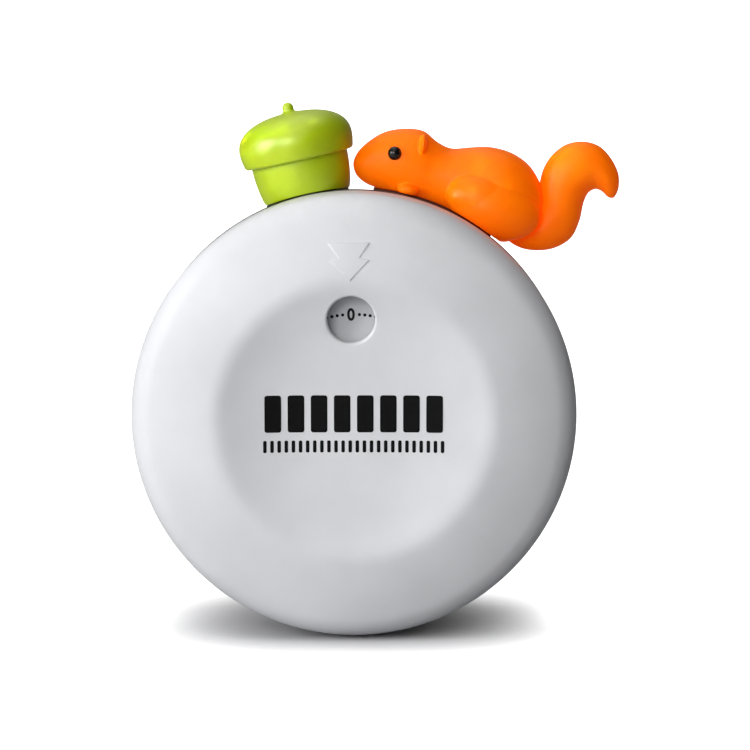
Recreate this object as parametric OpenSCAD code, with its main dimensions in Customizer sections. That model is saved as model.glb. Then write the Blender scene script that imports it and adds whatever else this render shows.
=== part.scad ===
/* [Case] */
// Diameter of the round case
disc_d = 100; // [98:0.5:102]
// Thickness of the moulded walls
wall = 2; // [1.6:0.1:2.4]
// Depth of the rear shell, from its back face to the seam
rear_depth = 32.5; // [32.5:0.5:36]
// Gap under the turning front shell, above the table
table_gap = 0.5; // [0.4:0.1:1]
// Height of the dished front above its own rim edge
front_depth = 22.4; // [22:0.1:23]
// Depth of the dish in the middle of the front
dish_depth = 3.06; // [3.06:0.01:3.1]

/* [Window and dial] */
// Radius of the round window
window_r = 5.3; // [4.8:0.05:5.6]
// Distance of the window's centre from the axis
window_y = 22.4; // [22:0.1:23]
// Turn of the window and the arrow to the left of upright, in degrees
window_turn = 1.5; // [0:0.5:3]
// Radius of the dial disc
dial_r = 29.4; // [29:0.1:29.6]
// Width of the raised arrow
arrow_w = 9.3; // [8:0.1:10]
// Height of the raised arrow
arrow_h = 8.5; // [8:0.1:9]

/* [Movement] */
// Teeth on each large wheel
wheel_teeth = 48; // [48:8:48]
// Leaves on each pinion
pinion_leaves = 8; // [8:1:8]
// Tooth module of the great wheel and its pinion
module_1 = 0.6; // [0.6:0.01:0.6]
// Tooth module of the second wheel and its pinion
module_2 = 0.45; // [0.45:0.01:0.45]
// Tooth module of the third wheel and its pinion
module_3 = 0.4; // [0.4:0.01:0.4]
// Teeth on the escape wheel
escape_teeth = 15; // [15:1:15]
// Radius of the bell
bell_r = 24; // [22:0.5:24]

/* [Figures] */
// Lean of the acorn to the left of upright, in degrees
acorn_lean = 12.6; // [10:0.1:14]
// Radius of the acorn's cap
cap_r = 13.2; // [12.5:0.1:13.4]
// Radius of the nut at its base
nut_base_r = 9.9; // [9:0.1:10.4]
// Radius of the squirrel's eye
eye_r = 1.6; // [1.4:0.05:1.7]

/* [Hidden] */
$fn = 64;

// Everything is laid out as seen from the front: x to the right, y up from the timer's axis,
// and depth forward from the middle of the foot.
disc_r = disc_d / 2;
axis_h = disc_r + table_gap;
seam = 12.5;
rear_face = seam - rear_depth;
shell_edge = seam + 1.1;
crest = shell_edge + front_depth;
dish_floor = crest - dish_depth;
inner_r = disc_r - wall;
rear_r = disc_r - 1.6;
rear_inner_r = rear_r - wall;
collar_r = disc_r + 0.1;
collar_back = seam - 2.5;
foot_d = 2 * collar_back - 0.4;
foot_base = 1;
foot_w = 32;
slots = 18;
slot_in = 11;
slot_out = 22;
slot_w = 1.8;
back_corner = 8;

// Tilts of the front surface where one arc of its section passes into the next
dish_flat_r = 8;
dish_tilt = -15;
crest_tilt = 9;
shoulder_tilt = 19.5;
dish_arc = -80;
crest_arc = 9.7;
front_arc = 70;
shoulder_r = dish_flat_r + dish_arc * sin(dish_tilt) + crest_arc * (sin(crest_tilt) - sin(dish_tilt))
    + front_arc * (sin(shoulder_tilt) - sin(crest_tilt));
corner_arc = (disc_r - shoulder_r) / (1 - sin(shoulder_tilt));

// Depths of the movement's layers
back_plate_z = -7;
front_plate_z = 8;
plate_t = 1;
plate_gap = front_plate_z - back_plate_z - plate_t;
dial_face = 30.2;
dial_t = 1.2;
dial_back = dial_face - dial_t;
hub_back = 14;
hub_r = 5;
window_collar = 1.2;

// The train's arbors, each placed from the one before it
train_ratio = wheel_teeth / pinion_leaves;
arm_1 = (wheel_teeth + pinion_leaves) * module_1 / 2;
arm_2 = (wheel_teeth + pinion_leaves) * module_2 / 2;
arm_3 = (wheel_teeth + pinion_leaves) * module_3 / 2;
way_1 = 219.2;
way_2 = 156;
way_3 = 95;
way_4 = 60;
second_at = polar(arm_1, way_1);
third_at = second_at + polar(arm_2, way_2);
escape_at = third_at + polar(arm_3, way_3);
verge_at = escape_at + polar(8, way_4);
train_spots = [second_at, third_at, escape_at, verge_at];
escape_r = 5;
pallet_spread = 42;
pallet_r = 5.4;
pallet_pin_r = 0.25;

arbor_r = 2;
pivot_fit = 0.05;
pillar_spots = [[-31, -18], [-31, 18], [16, -17], [16, 17]];
screw_spots = [[-38, 0], [30, 20], [30, -20]];
front_plate_outline = [
    [-36, -19], [-32, -22.5], [17, -22.5], [21, -19], [21, 19], [17, 22.5], [-32, 22.5], [-36, 19]
];
back_plate_outline = [
    [-42, -4], [-36, -9], [-36, -19], [-32, -22.5], [17, -22.5], [29, -25], [34, -22.5], [34.5, -17.5],
    [21, -11], [21, 11], [34.5, 17.5], [34, 22.5], [29, 25], [17, 22.5], [-32, 22.5], [-36, 19],
    [-36, 9], [-42, 4]
];
dial_pillar_angles = [30, 150, 270];
dial_pillar_r = 13;
bell_at = [6, -4];
bell_rim = -9.9;
bell_top = -16.9;
hammer_at = [-22, 17];
hammer_head_at = [-21.2, -4];
hammer_tail_at = [-4, 3.5];
hammer_back = -13.2;
hammer_arm_z = -12.6;
stop_pin_at = [0, 9];
stop_angle = 75;
click_turn = 20;
click_pivot_r = 10.5;

// The tail's path as x, y and radius: out from under the rump, up, over and down to a point
tail_path = [
    [40, 39.6, 3.2], [45.4, 41, 4.6], [47.6, 45.9, 5], [48.6, 51.9, 5.2], [52.2, 55.6, 4.9],
    [56.4, 54.6, 4.5], [58.7, 51.4, 2.7], [59.4, 48.7, 1]
];

// The figures' middle plane, the radius that they sit at, the squirrel's eyes and the screws
figure_z = 4.6;
figure_seat = disc_r + 0.4;
acorn_angle = 90 + acorn_lean;
squirrel_screw_angles = [75, 59];
eye_at = [9.2, 58.2, 5.75];
saddle_front = collar_back - 0.2;
acorn_saddle_half = 11;
squirrel_saddle_from = 51.5;
squirrel_saddle_to = 85;

function polar(r, a) = [r * cos(a), r * sin(a)];

// An arc of a section, given by the tilts it starts and ends at
function bend(start, radius, from, to, steps) = [
    for (i = [1:steps])
        let (t = from + (to - from) * i / steps)
        start + radius * [sin(t) - sin(from), cos(t) - cos(from)]
];
function last(list) = list[len(list) - 1];
function reversed(list) = [for (i = [len(list) - 1:-1:0]) list[i]];

// The front shell's section, sunk below its outer surface by inset
function front_section(inset) =
    let (
        a = [[0, dish_floor - inset], [dish_flat_r, dish_floor - inset]],
        b = bend(last(a), dish_arc - inset, 0, dish_tilt, 5),
        c = bend(last(b), crest_arc - inset, dish_tilt, crest_tilt, 6),
        d = bend(last(c), front_arc - inset, crest_tilt, shoulder_tilt, 4),
        e = bend(last(d), corner_arc - inset, shoulder_tilt, 90, 8)
    )
    concat(a, b, c, d, e, [[disc_r - inset, shell_edge]]);

// The rear shell's section, sunk below its outer surface by inset
function rear_section(inset) = concat(
    [[0, rear_face + inset]],
    [for (t = [0:11.25:90]) [
        rear_r - back_corner + (back_corner - inset) * sin(t),
        rear_face + back_corner - (back_corner - inset) * cos(t)
    ]],
    [[rear_r - inset, seam]]
);

// Clock wheel teeth: radial roots and pointed, rounded tips
function wheel_outline(teeth, m) =
    let (rp = teeth * m / 2, half = 0.23 * 360 / teeth)
    [for (i = [0:teeth - 1],
          p = [[-1.4, -1], [0, -1], [0.5, -0.7], [0.9, -0.2], [0.9, 0.2], [0.5, 0.7], [0, 1], [-1.4, 1]])
        polar(rp + p[0] * m, i * 360 / teeth + p[1] * half)];

// Pinion leaves: narrow, with radial sides and rounded ends
function pinion_outline(leaves, m) =
    let (rp = leaves * m / 2, half = 0.17 * 360 / leaves)
    [for (i = [0:leaves - 1], p = [[-1.2, -1], [0, -1], [0.4, -0.6], [0.4, 0.6], [0, 1], [-1.2, 1]])
        polar(rp + p[0] * m, i * 360 / leaves + p[1] * half)];

// Stands its children face on to the front, at a depth
module facing(depth = 0) {
    translate([0, -depth, axis_h]) rotate([90, 0, 0]) children();
}

module disc_at(p, from, to, r) {
    facing(from) translate([p[0], p[1], 0]) cylinder(h = to - from, r = r);
}

module bar(p, q, w) {
    d = q - p;
    translate(p) circle(d = w);
    translate(q) circle(d = w);
    translate(p) rotate(atan2(d[1], d[0])) translate([0, -w / 2]) square([norm(d), w]);
}

// Points along the rim's radius at an angle, with the figures' middle plane at z = 0
module on_rim(angle) {
    facing(figure_z) rotate([0, 0, angle]) rotate([0, 90, 0]) children();
}

module front_shell() {
    color([0.9, 0.91, 0.92]) facing() {
        difference() {
            union() {
                rotate_extrude() polygon(concat(front_section(0), reversed(front_section(wall))));
                translate([0, 0, hub_back]) cylinder(h = dish_floor - wall / 2 - hub_back, r = hub_r);
                intersection() {
                    at_window() translate([0, 0, dial_face + 0.5])
                        cylinder(h = 8, r = window_r + window_collar);
                    rotate_extrude()
                        polygon(concat([[0, dial_face]], front_section(0.1), [[disc_r - 9, dial_face]]));
                }
                arrow();
            }
            at_window() cylinder(h = crest + 5, r = window_r);
            translate([0, 0, hub_back - 1]) linear_extrude(dial_face + 1.3 - hub_back)
                d_section(arbor_r + 0.02);
        }
    }
}

module at_window() {
    rotate(window_turn) translate([0, window_y, 0]) children();
}

// Two stacked triangles pointing at the window, lying on the slope outside the dish
module arrow() {
    w = arrow_w / 2;
    h = arrow_h;
    neck = w * 0.53;
    at_window() translate([0, 8.65, crest]) rotate([-10.7, 0, 0]) translate([0, 0, -1.2]) linear_extrude(1.65)
        polygon([
            [0, 0], [w, 0.55 * h], [neck, 0.61 * h], [w, h],
            [-w, h], [-neck, 0.61 * h], [-w, 0.55 * h]
        ]);
}

module d_section(r) {
    difference() {
        circle(r = r);
        translate([r * 0.7, -r]) square([r, 2 * r]);
        translate([-r * 1.7, -r]) square([r, 2 * r]);
    }
}

module rear_shell() {
    color([0.9, 0.91, 0.92]) difference() {
        union() {
            facing() rotate_extrude() polygon(concat(rear_section(0), [[0, seam]]));
            translate([-foot_w / 2, -foot_d / 2, foot_base]) cube([foot_w, foot_d, 6]);
        }
        difference() {
            facing() rotate_extrude()
                polygon(concat(rear_section(wall), [[rear_inner_r, seam + 1], [0, seam + 1]]));
            for (p = screw_spots) disc_at(p, rear_face, back_plate_z, 3.2);
        }
        for (p = screw_spots) disc_at(p, rear_face + 3, back_plate_z + 1, 1.5);
        facing(rear_face - 1) for (i = [1:slots]) rotate(i * 360 / slots)
            linear_extrude(wall + 2) bar([slot_in, 0], [slot_out, 0], slot_w);
        figure_screw_holes();
    }
}

module figure_screw_holes() {
    for (a = concat([acorn_angle], squirrel_screw_angles))
        on_rim(a) translate([0, 0, rear_inner_r - 2]) cylinder(h = 9, r = 1.4);
}

// Dark collar over the rear shell's front edge: the bearing that the front shell turns on
module seam_ring() {
    color([0.08, 0.08, 0.09]) facing() rotate_extrude() polygon([
        [rear_r + 0.05, collar_back], [collar_r, collar_back], [collar_r, seam + 0.8],
        [inner_r - 0.8, seam + 0.8], [inner_r - 0.8, seam + 3.5], [inner_r - 2.6, seam + 3.5],
        [inner_r - 2.6, seam], [rear_r + 0.05, seam]
    ]);
}

module foot_pad() {
    w = foot_w - 2;
    d = foot_d - 1;
    r = 3;
    color([0.12, 0.12, 0.13]) linear_extrude(foot_base) {
        for (x = [-1, 1], y = [-1, 1]) translate([x * (w / 2 - r), y * (d / 2 - r)]) circle(r = r);
        square([w, d - 2 * r], center = true);
        square([w - 2 * r, d], center = true);
    }
}

module dial_disc() {
    color([0.93, 0.93, 0.93]) difference() {
        disc_at([0, 0], dial_back, dial_face, dial_r);
        disc_at([0, 0], dial_back - 1, dial_face + 1, 6.5);
        for (a = dial_pillar_angles) facing(dial_back) translate(polar(dial_pillar_r, a)) {
            translate([0, 0, -1]) cylinder(h = 3, r = 0.95);
            translate([0, 0, dial_t - 0.8]) cylinder(h = 0.8, r1 = 0.95, r2 = 1.75);
        }
    }
}

module dial_pillars() {
    color("silver") for (p = [for (a = dial_pillar_angles) polar(dial_pillar_r, a)]) difference() {
        union() {
            disc_at(p, front_plate_z + plate_t, dial_back, 1.7);
            disc_at(p, front_plate_z - 0.4, front_plate_z + plate_t, 1);
        }
        disc_at(p, dial_back - 7, dial_back + 1, 0.9);
    }
}

module dial_screws() {
    color("silver") for (a = dial_pillar_angles)
    facing(dial_back) translate(polar(dial_pillar_r, a)) difference() {
        union() {
            translate([0, 0, -5.5]) cylinder(h = 6.2, r = 0.88);
            translate([0, 0, dial_t - 0.75]) cylinder(h = 0.75, r1 = 0.92, r2 = 1.7);
        }
        translate([-2, -0.2, dial_t - 0.35]) cube([4, 0.4, 1]);
    }
}

// Dark curved spacer between the rear shell and a figure, over part of the rim
module saddle(from, to, back) {
    color([0.08, 0.08, 0.09]) difference() {
        facing() intersection() {
            rotate_extrude() translate([rear_r + 0.1, back])
                square([figure_seat - rear_r - 0.2, saddle_front - back]);
            translate([0, 0, back - 1]) linear_extrude(saddle_front - back + 2)
                polygon([[0, 0], polar(60, from), polar(70, (from + to) / 2), polar(60, to)]);
        }
        figure_screw_holes();
    }
}

module acorn_saddle() {
    saddle(acorn_angle - acorn_saddle_half, acorn_angle + acorn_saddle_half, -1);
}

module squirrel_saddle() {
    saddle(squirrel_saddle_from, squirrel_saddle_to, 1);
}

// Domed cap: a superellipse over a rounded lip, with a ball for a stalk
module acorn_cap() {
    lip = 7.7;
    widest = 11.4;
    dome_h = 7.2;
    color([0.72, 0.84, 0.16]) on_rim(acorn_angle) translate([0, 0, figure_seat]) difference() {
        union() {
            rotate_extrude() polygon(concat(
                [[0, lip], [cap_r - 1.3, lip]],
                [for (t = [-75:15:0]) [cap_r - 1.3 + 0.9 * cos(t), lip + 0.9 + 0.9 * sin(t)]],
                [[cap_r - 0.1, widest - 1.4]],
                [for (t = [0:7.5:82.5]) [cap_r * pow(cos(t), 0.87), widest + dome_h * pow(sin(t), 0.87)]],
                [[0, widest + dome_h]]
            ));
            translate([0, 0, widest + dome_h - 0.2]) cylinder(h = 1.3, r1 = 1.5, r2 = 1.2);
            translate([0, 0, widest + dome_h + 1.2]) sphere(r = 1.3);
        }
        translate([0, 0, lip - 1]) cylinder(h = 5.1, r = 4.05);
    }
}

// Nut that widens upward, cut to the rim's curve, with a peg for the cap
module acorn_nut() {
    color([0.72, 0.84, 0.16]) difference() {
        on_rim(acorn_angle) translate([0, 0, figure_seat]) {
            translate([0, 0, -2]) rotate_extrude() polygon([
                [0, 0], [nut_base_r - 0.4, 0], [nut_base_r, 2],
                [nut_base_r + 0.9, 5.2], [nut_base_r + 1.3, 9.7], [0, 9.7]
            ]);
            translate([0, 0, 7]) cylinder(h = 4.5, r = 4);
        }
        disc_at([0, 0], -30, 40, figure_seat);
        on_rim(acorn_angle) translate([0, 0, figure_seat - 3]) cylinder(h = 9.2, r = 1.3);
    }
}

module radial_screw(angle, reach) {
    on_rim(angle) translate([0, 0, rear_inner_r - 0.2]) difference() {
        union() {
            translate([0, 0, -1.6]) cylinder(h = 1.6, r = 2.6);
            cylinder(h = reach, r = 1.25);
        }
        for (a = [0, 90]) rotate(a) translate([-1.6, -0.3, -2]) cube([3.2, 0.6, 1.2]);
    }
}

module acorn_screw() {
    color("silver") radial_screw(acorn_angle, 9.4);
}

module squirrel_screws() {
    color("silver") for (a = squirrel_screw_angles) radial_screw(a, 8.4);
}

module ball(x, y, z, r) {
    facing(figure_z + z) translate([x, y, 0]) sphere(r = r, $fn = 20);
}

// A crouched body lying along the rim: head low, back arched, haunches out to the sides
module squirrel_body() {
    color([1, 0.45, 0.08]) difference() {
        union() {
            hull() { ball(3.8, 55.3, 0, 3.9); ball(11.6, 57.1, 0, 6.5); }
            hull() { ball(11.6, 56, 0, 5.4); ball(20.5, 52.9, 0, 6.4); ball(17, 49.9, 0, 4); }
            hull() { ball(20.5, 52.9, 0, 6.4); ball(30, 51.8, 0, 7.6); ball(24, 47.4, 0, 5); }
            hull() { ball(30, 51.8, 0, 7.6); ball(35, 50, 0, 7.6); ball(34.5, 44.9, 0, 6.8); }
            for (s = [-1, 1]) hull() { ball(27.5, 46.9, s * 4.5, 4.4); ball(36, 46.4, s * 4.2, 5.2); }
            for (s = [-1, 1]) {
                ball(15.6, 60, s * 4.4, 2.2);
                ball(13.6, 50.2, s * 4, 1.9);
            }
        }
        disc_at([0, 0], -30, 40, figure_seat);
        for (s = [-1, 1]) ball(eye_at[0], eye_at[1], s * eye_at[2], eye_r + 0.1);
        for (a = squirrel_screw_angles)
            on_rim(a) translate([0, 0, figure_seat - 3]) cylinder(h = 8.5, r = 1.3);
        hull() for (i = [0:3]) tail_ball(i, 0.15);
    }
}

module tail_ball(i, grow) {
    ball(tail_path[i][0], tail_path[i][1], 0, tail_path[i][2] + grow);
}

module squirrel_tail() {
    color([1, 0.45, 0.08]) difference() {
        for (i = [0:len(tail_path) - 2]) hull() {
            tail_ball(i, 0);
            tail_ball(i + 1, 0);
        }
        disc_at([0, 0], -30, 40, figure_seat);
    }
}

module squirrel_eyes() {
    color([0.02, 0.02, 0.03]) for (s = [-1, 1])
        facing(figure_z + s * eye_at[2]) translate([eye_at[0], eye_at[1], 0]) sphere(r = eye_r);
}

module movement_front_plate() {
    color([0.83, 0.7, 0.36]) facing(front_plate_z) difference() {
        linear_extrude(plate_t) polygon(front_plate_outline);
        translate([0, 0, -1]) {
            cylinder(h = 3, r = arbor_r + pivot_fit);
            for (p = train_spots) translate(p) cylinder(h = 3, r = 0.6 + pivot_fit);
            for (p = pillar_spots) translate(p) cylinder(h = 3, r = 1.25);
            for (a = dial_pillar_angles) translate(polar(dial_pillar_r, a)) cylinder(h = 3, r = 1.02);
            translate(stop_pin_at) cylinder(h = 3, r = 0.82);
        }
    }
}

module movement_back_plate() {
    color([0.83, 0.7, 0.36]) facing(back_plate_z) difference() {
        linear_extrude(plate_t) polygon(back_plate_outline);
        translate([0, 0, -1]) {
            cylinder(h = 3, r = 1.5 + pivot_fit);
            for (p = train_spots) translate(p) cylinder(h = 3, r = 0.6 + pivot_fit);
            for (p = concat(pillar_spots, [polar(13.6, 90)])) translate(p) cylinder(h = 3, r = 1.25);
            for (p = screw_spots) translate(p) cylinder(h = 3, r = 1.7);
            for (p = [bell_at, hammer_at]) translate(p) cylinder(h = 3, r = 0.82);
        }
    }
}

module plate_pillars() {
    color("silver") for (p = pillar_spots) {
        disc_at(p, back_plate_z + plate_t, front_plate_z, 2.1);
        disc_at(p, front_plate_z, front_plate_z + plate_t + 0.3, 1.2);
        disc_at(p, back_plate_z - 1.8, back_plate_z + plate_t, 1.2);
    }
}

module pillar_nuts() {
    color("silver") for (p = pillar_spots) facing(back_plate_z - 1.4) translate(p) difference() {
        cylinder(h = 1.4, r = 2.6, $fn = 6);
        translate([0, 0, -1]) cylinder(h = 4, r = 1.22);
    }
}

module movement_screws() {
    color("silver") for (p = screw_spots) facing(back_plate_z + plate_t) translate(p) difference() {
        union() {
            cylinder(h = 1.7, r = 2.8);
            translate([0, 0, -8.5]) cylinder(h = 8.6, r = 1.45);
        }
        for (a = [0, 90]) rotate(a) translate([-1.7, -0.3, 0.8]) cube([3.4, 0.6, 1.2]);
    }
}

module main_arbor() {
    color("silver") {
        disc_at([0, 0], back_plate_z - 2.5, back_plate_z + plate_t, 1.5);
        disc_at([0, 0], back_plate_z + plate_t + 0.2, 0.3, 2.6);
        disc_at([0, 0], back_plate_z + plate_t, hub_back, arbor_r);
        facing(hub_back) linear_extrude(dial_face - hub_back) d_section(arbor_r);
    }
}

// Spiral strip, wound outward from just clear of the arbor to its post
module mainspring() {
    turns = 7.5;
    step = 18;
    r0 = 3;
    pitch = 1.22;
    t = 0.36;
    spiral = function (a, off) polar(r0 + off + pitch * a / 360, a + 90 - 360 * turns);
    color([0.35, 0.38, 0.45]) facing(-5.3) linear_extrude(5) polygon(concat(
        [for (a = [0:step:360 * turns]) spiral(a, 0)],
        [for (a = [360 * turns:-step:0]) spiral(a, t)]
    ));
}

module mainspring_post() {
    color("silver") {
        disc_at([0, 13.75], back_plate_z + plate_t, -0.2, 1.15);
        disc_at([0, 13.6], back_plate_z - 0.3, back_plate_z + plate_t, 1.2);
    }
}

module stop_arm() {
    color("silver") facing(front_plate_z + plate_t + 0.6) linear_extrude(1.6) difference() {
        union() {
            circle(r = 4);
            rotate(stop_angle) translate([0, -1.05]) square([10.1, 2.1]);
        }
        circle(r = arbor_r + 0.02);
    }
}

module stop_pin() {
    color("silver") {
        disc_at(stop_pin_at, front_plate_z + plate_t, front_plate_z + plate_t + 3, 1.05);
        disc_at(stop_pin_at, front_plate_z - 0.3, front_plate_z + plate_t, 0.8);
    }
}

// Round cam with one notch, where the hammer's tail falls at zero
module trip_cam() {
    color([0.83, 0.7, 0.36]) facing(back_plate_z - 2.3) linear_extrude(1) difference() {
        circle(r = 4.3);
        circle(r = 1.52);
        rotate(139) translate([3.4, -0.8]) square([2, 1.6]);
    }
}

module ratchet_wheel() {
    teeth = 16;
    color("silver") facing(0.5) linear_extrude(1.1) difference() {
        rotate(click_turn) polygon([
            for (i = [0:teeth - 1], r = [5.6, 4.7]) polar(r, i * 360 / teeth - 60)
        ]);
        circle(r = arbor_r + 0.02);
    }
}

// Great wheel: toothed plate and boss, with five round holes and one for the click's rivet
module great_wheel() {
    plate_z = 2;
    boss_r = 3.4;
    hole_way = 8.6;
    hole_r = 2.2;
    color([0.83, 0.7, 0.36]) facing() difference() {
        union() {
            translate([0, 0, plate_z]) linear_extrude(1)
                rotate(way_1) polygon(wheel_outline(wheel_teeth, module_1));
            translate([0, 0, plate_z - 0.2]) cylinder(h = 2.4, r = boss_r);
        }
        translate([0, 0, plate_z - 1]) cylinder(h = 5, r = arbor_r + 0.02);
        translate([0, 0, plate_z - 1]) rotate(click_turn) {
            translate([click_pivot_r, 0]) cylinder(h = 3, r = 0.72);
            for (i = [1:5]) rotate(i * 60) translate([hole_way, 0]) cylinder(h = 3, r = hole_r);
        }
    }
}

// Click: a lever tangent to the ratchet, its nose resting in a tooth gap
module click() {
    nose = -58.4;
    color("silver") facing(0.5) rotate(click_turn) linear_extrude(1.1) difference() {
        union() {
            translate([click_pivot_r, 0]) circle(r = 1.9);
            polygon([
                polar(4.95, nose + 0.4), polar(6.5, nose + 0.2), polar(7.1, nose + 8),
                [click_pivot_r + 0.9, -1.6], [click_pivot_r - 0.8, 1.6], polar(7.2, nose + 50),
                polar(5.85, nose + 20), polar(5.8, nose + 7)
            ]);
        }
        translate([click_pivot_r, 0]) circle(r = 0.76);
    }
}

module click_rivet() {
    color("silver") facing() rotate(click_turn) translate([click_pivot_r, 0]) {
        translate([0, 0, 0.05]) cylinder(h = 0.35, r = 1.5);
        translate([0, 0, 0.4]) cylinder(h = 2.8, r = 0.7);
    }
}

module click_spring() {
    color("silver") facing() rotate(click_turn) {
        translate([10.4, -6.6, 0.5]) cylinder(h = 1.5, r = 0.8);
        translate([0, 0, 0.5]) linear_extrude(1) bar([10.4, -6.6], [5.8, -8.6], 0.35);
    }
}

module train_wheel(at, way, m, z) {
    color([0.83, 0.7, 0.36]) facing(z) translate(at) difference() {
        linear_extrude(0.8) rotate(way) polygon(wheel_outline(wheel_teeth, m));
        translate([0, 0, -1]) cylinder(h = 3, r = 0.92);
        r = wheel_teeth * m / 2;
        for (a = [45:90:315]) translate(concat(polar(0.52 * r, a), -1)) cylinder(h = 3, r = 0.26 * r);
    }
}

// Arbor with two pivots, a leaved pinion and a plain seat for its wheel
module train_pinion(at, way, m, z, h) {
    color("silver") {
        disc_at(at, back_plate_z - 0.2, front_plate_z + plate_t + 0.2, 0.6);
        disc_at(at, back_plate_z + plate_t + 0.2, front_plate_z - 0.2, 0.9);
        facing(z) translate(at) linear_extrude(h) rotate(way + 180 + 180 / pinion_leaves)
            polygon(pinion_outline(pinion_leaves, m));
    }
}

module second_wheel() {
    train_wheel(second_at, way_2, module_2, 5);
}

module second_pinion() {
    train_pinion(second_at, way_1, module_1, 1.5, 2);
}

module third_wheel() {
    train_wheel(third_at, way_3, module_3, -2);
}

module third_pinion() {
    train_pinion(third_at, way_2, module_2, 4.4, 2);
}

module escape_wheel() {
    color([0.83, 0.7, 0.36]) facing(2.4) translate(escape_at) difference() {
        linear_extrude(0.8) polygon([
            for (i = [0:escape_teeth - 1], p = [[3.7, -7], [escape_r, -0.7], [escape_r, 0.7], [3.7, 7]])
                polar(p[0], i * 360 / escape_teeth + p[1])
        ]);
        translate([0, 0, -1]) cylinder(h = 3, r = 0.92);
    }
}

module escape_pinion() {
    train_pinion(escape_at, way_3, module_3, -2.6, 2);
}

// Verge: an arbor with two arms, each carrying a pin beside the escape wheel's teeth
module verge() {
    color("silver") {
        disc_at(verge_at, back_plate_z - 0.2, front_plate_z + plate_t + 0.2, 0.6);
        disc_at(verge_at, back_plate_z + plate_t + 0.2, front_plate_z - 0.2, 0.9);
        for (s = [-1, 1]) {
            pin_at = escape_at + polar(pallet_r, way_4 + s * pallet_spread);
            facing(3.8) linear_extrude(0.8) bar(verge_at, pin_at, 1.2);
            disc_at(pin_at, 1.9, 4, pallet_pin_r);
        }
    }
}

module balance_weight() {
    color([0.83, 0.7, 0.36]) facing(5.2) translate(verge_at) rotate(way_4 + 90)
    linear_extrude(1.8) difference() {
        union() {
            bar([-4.6, 0], [4.6, 0], 1.6);
            for (x = [-4.6, 4.6]) translate([x, 0]) circle(r = 1.7);
            circle(r = 2);
        }
        circle(r = 0.92);
    }
}

// Hammer: a hub on its stud, an arm to the head and a tail to the trip cam, each in its own layer
module hammer_arm() {
    tail_z = -9.3;
    color("silver") difference() {
        union() {
            disc_at(hammer_at, hammer_back, -8.4, 2.2);
            facing(hammer_arm_z) linear_extrude(1) bar(hammer_at, hammer_head_at, 1.8);
            facing(tail_z) linear_extrude(0.8) bar(hammer_at, hammer_tail_at, 1.1);
        }
        disc_at(hammer_at, hammer_back - 1, -8, 1.05);
        disc_at(hammer_head_at, hammer_back - 1, -8, 1.02);
    }
}

module hammer_head() {
    color([0.83, 0.7, 0.36]) {
        disc_at(hammer_head_at, hammer_arm_z - 1.8, hammer_arm_z, 2.5);
        disc_at(hammer_head_at, hammer_arm_z, hammer_arm_z + 1.4, 1);
    }
}

module hammer_stud() {
    color("silver") {
        disc_at(hammer_at, hammer_back, back_plate_z, 1);
        disc_at(hammer_at, hammer_back - 0.7, hammer_back - 0.1, 1.9);
        disc_at(hammer_at, hammer_back - 0.2, hammer_back, 1);
        disc_at(hammer_at, back_plate_z, back_plate_z + plate_t + 0.3, 0.8);
    }
}

// Return spring: close coils round the stud, with a leg lying along the plate
module hammer_spring() {
    wire = 0.2;
    color("silver") {
        facing(-8.2) translate(hammer_at) for (i = [0:2]) translate([0, 0, i * 2 * wire + wire])
            rotate_extrude() translate([1.45, 0]) circle(r = wire);
        facing(-7.6) translate(hammer_at + [1.45, 0]) rotate([90, 0, 0]) cylinder(h = 6, r = wire);
    }
}

// Bell: a shallow dome, closed towards the back
module bell() {
    t = 0.9;
    dome = function (r, h) [for (a = [0:10:90]) [5 + (r - 5) * sin(a), bell_rim - h * cos(a)]];
    h = bell_rim - bell_top;
    color([0.8, 0.8, 0.82]) facing() translate(bell_at) rotate_extrude() polygon(concat(
        [[1.3, bell_top]], dome(bell_r, h), reversed(dome(bell_r - t, h - t)), [[1.3, bell_top + t]]
    ));
}

module bell_post() {
    color("silver") {
        disc_at(bell_at, bell_top + 0.9, back_plate_z, 2);
        disc_at(bell_at, bell_top - 0.9, bell_top + 0.9, 1.25);
        disc_at(bell_at, back_plate_z, back_plate_z + plate_t + 0.3, 0.8);
    }
}

module bell_nut() {
    color("silver") facing(bell_top - 0.8) translate(bell_at) difference() {
        cylinder(h = 0.8, r = 2.6, $fn = 6);
        translate([0, 0, -1]) cylinder(h = 3, r = 1.27);
    }
}

front_shell();
rear_shell();
seam_ring();
foot_pad();
dial_disc();
dial_pillars();
dial_screws();
acorn_saddle();
acorn_cap();
acorn_nut();
acorn_screw();
squirrel_saddle();
squirrel_body();
squirrel_tail();
squirrel_eyes();
squirrel_screws();
movement_front_plate();
movement_back_plate();
plate_pillars();
pillar_nuts();
movement_screws();
main_arbor();
mainspring();
mainspring_post();
stop_arm();
stop_pin();
trip_cam();
ratchet_wheel();
great_wheel();
click();
click_rivet();
click_spring();
second_wheel();
second_pinion();
third_wheel();
third_pinion();
escape_wheel();
escape_pinion();
verge();
balance_weight();
hammer_arm();
hammer_head();
hammer_stud();
hammer_spring();
bell();
bell_post();
bell_nut();
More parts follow.
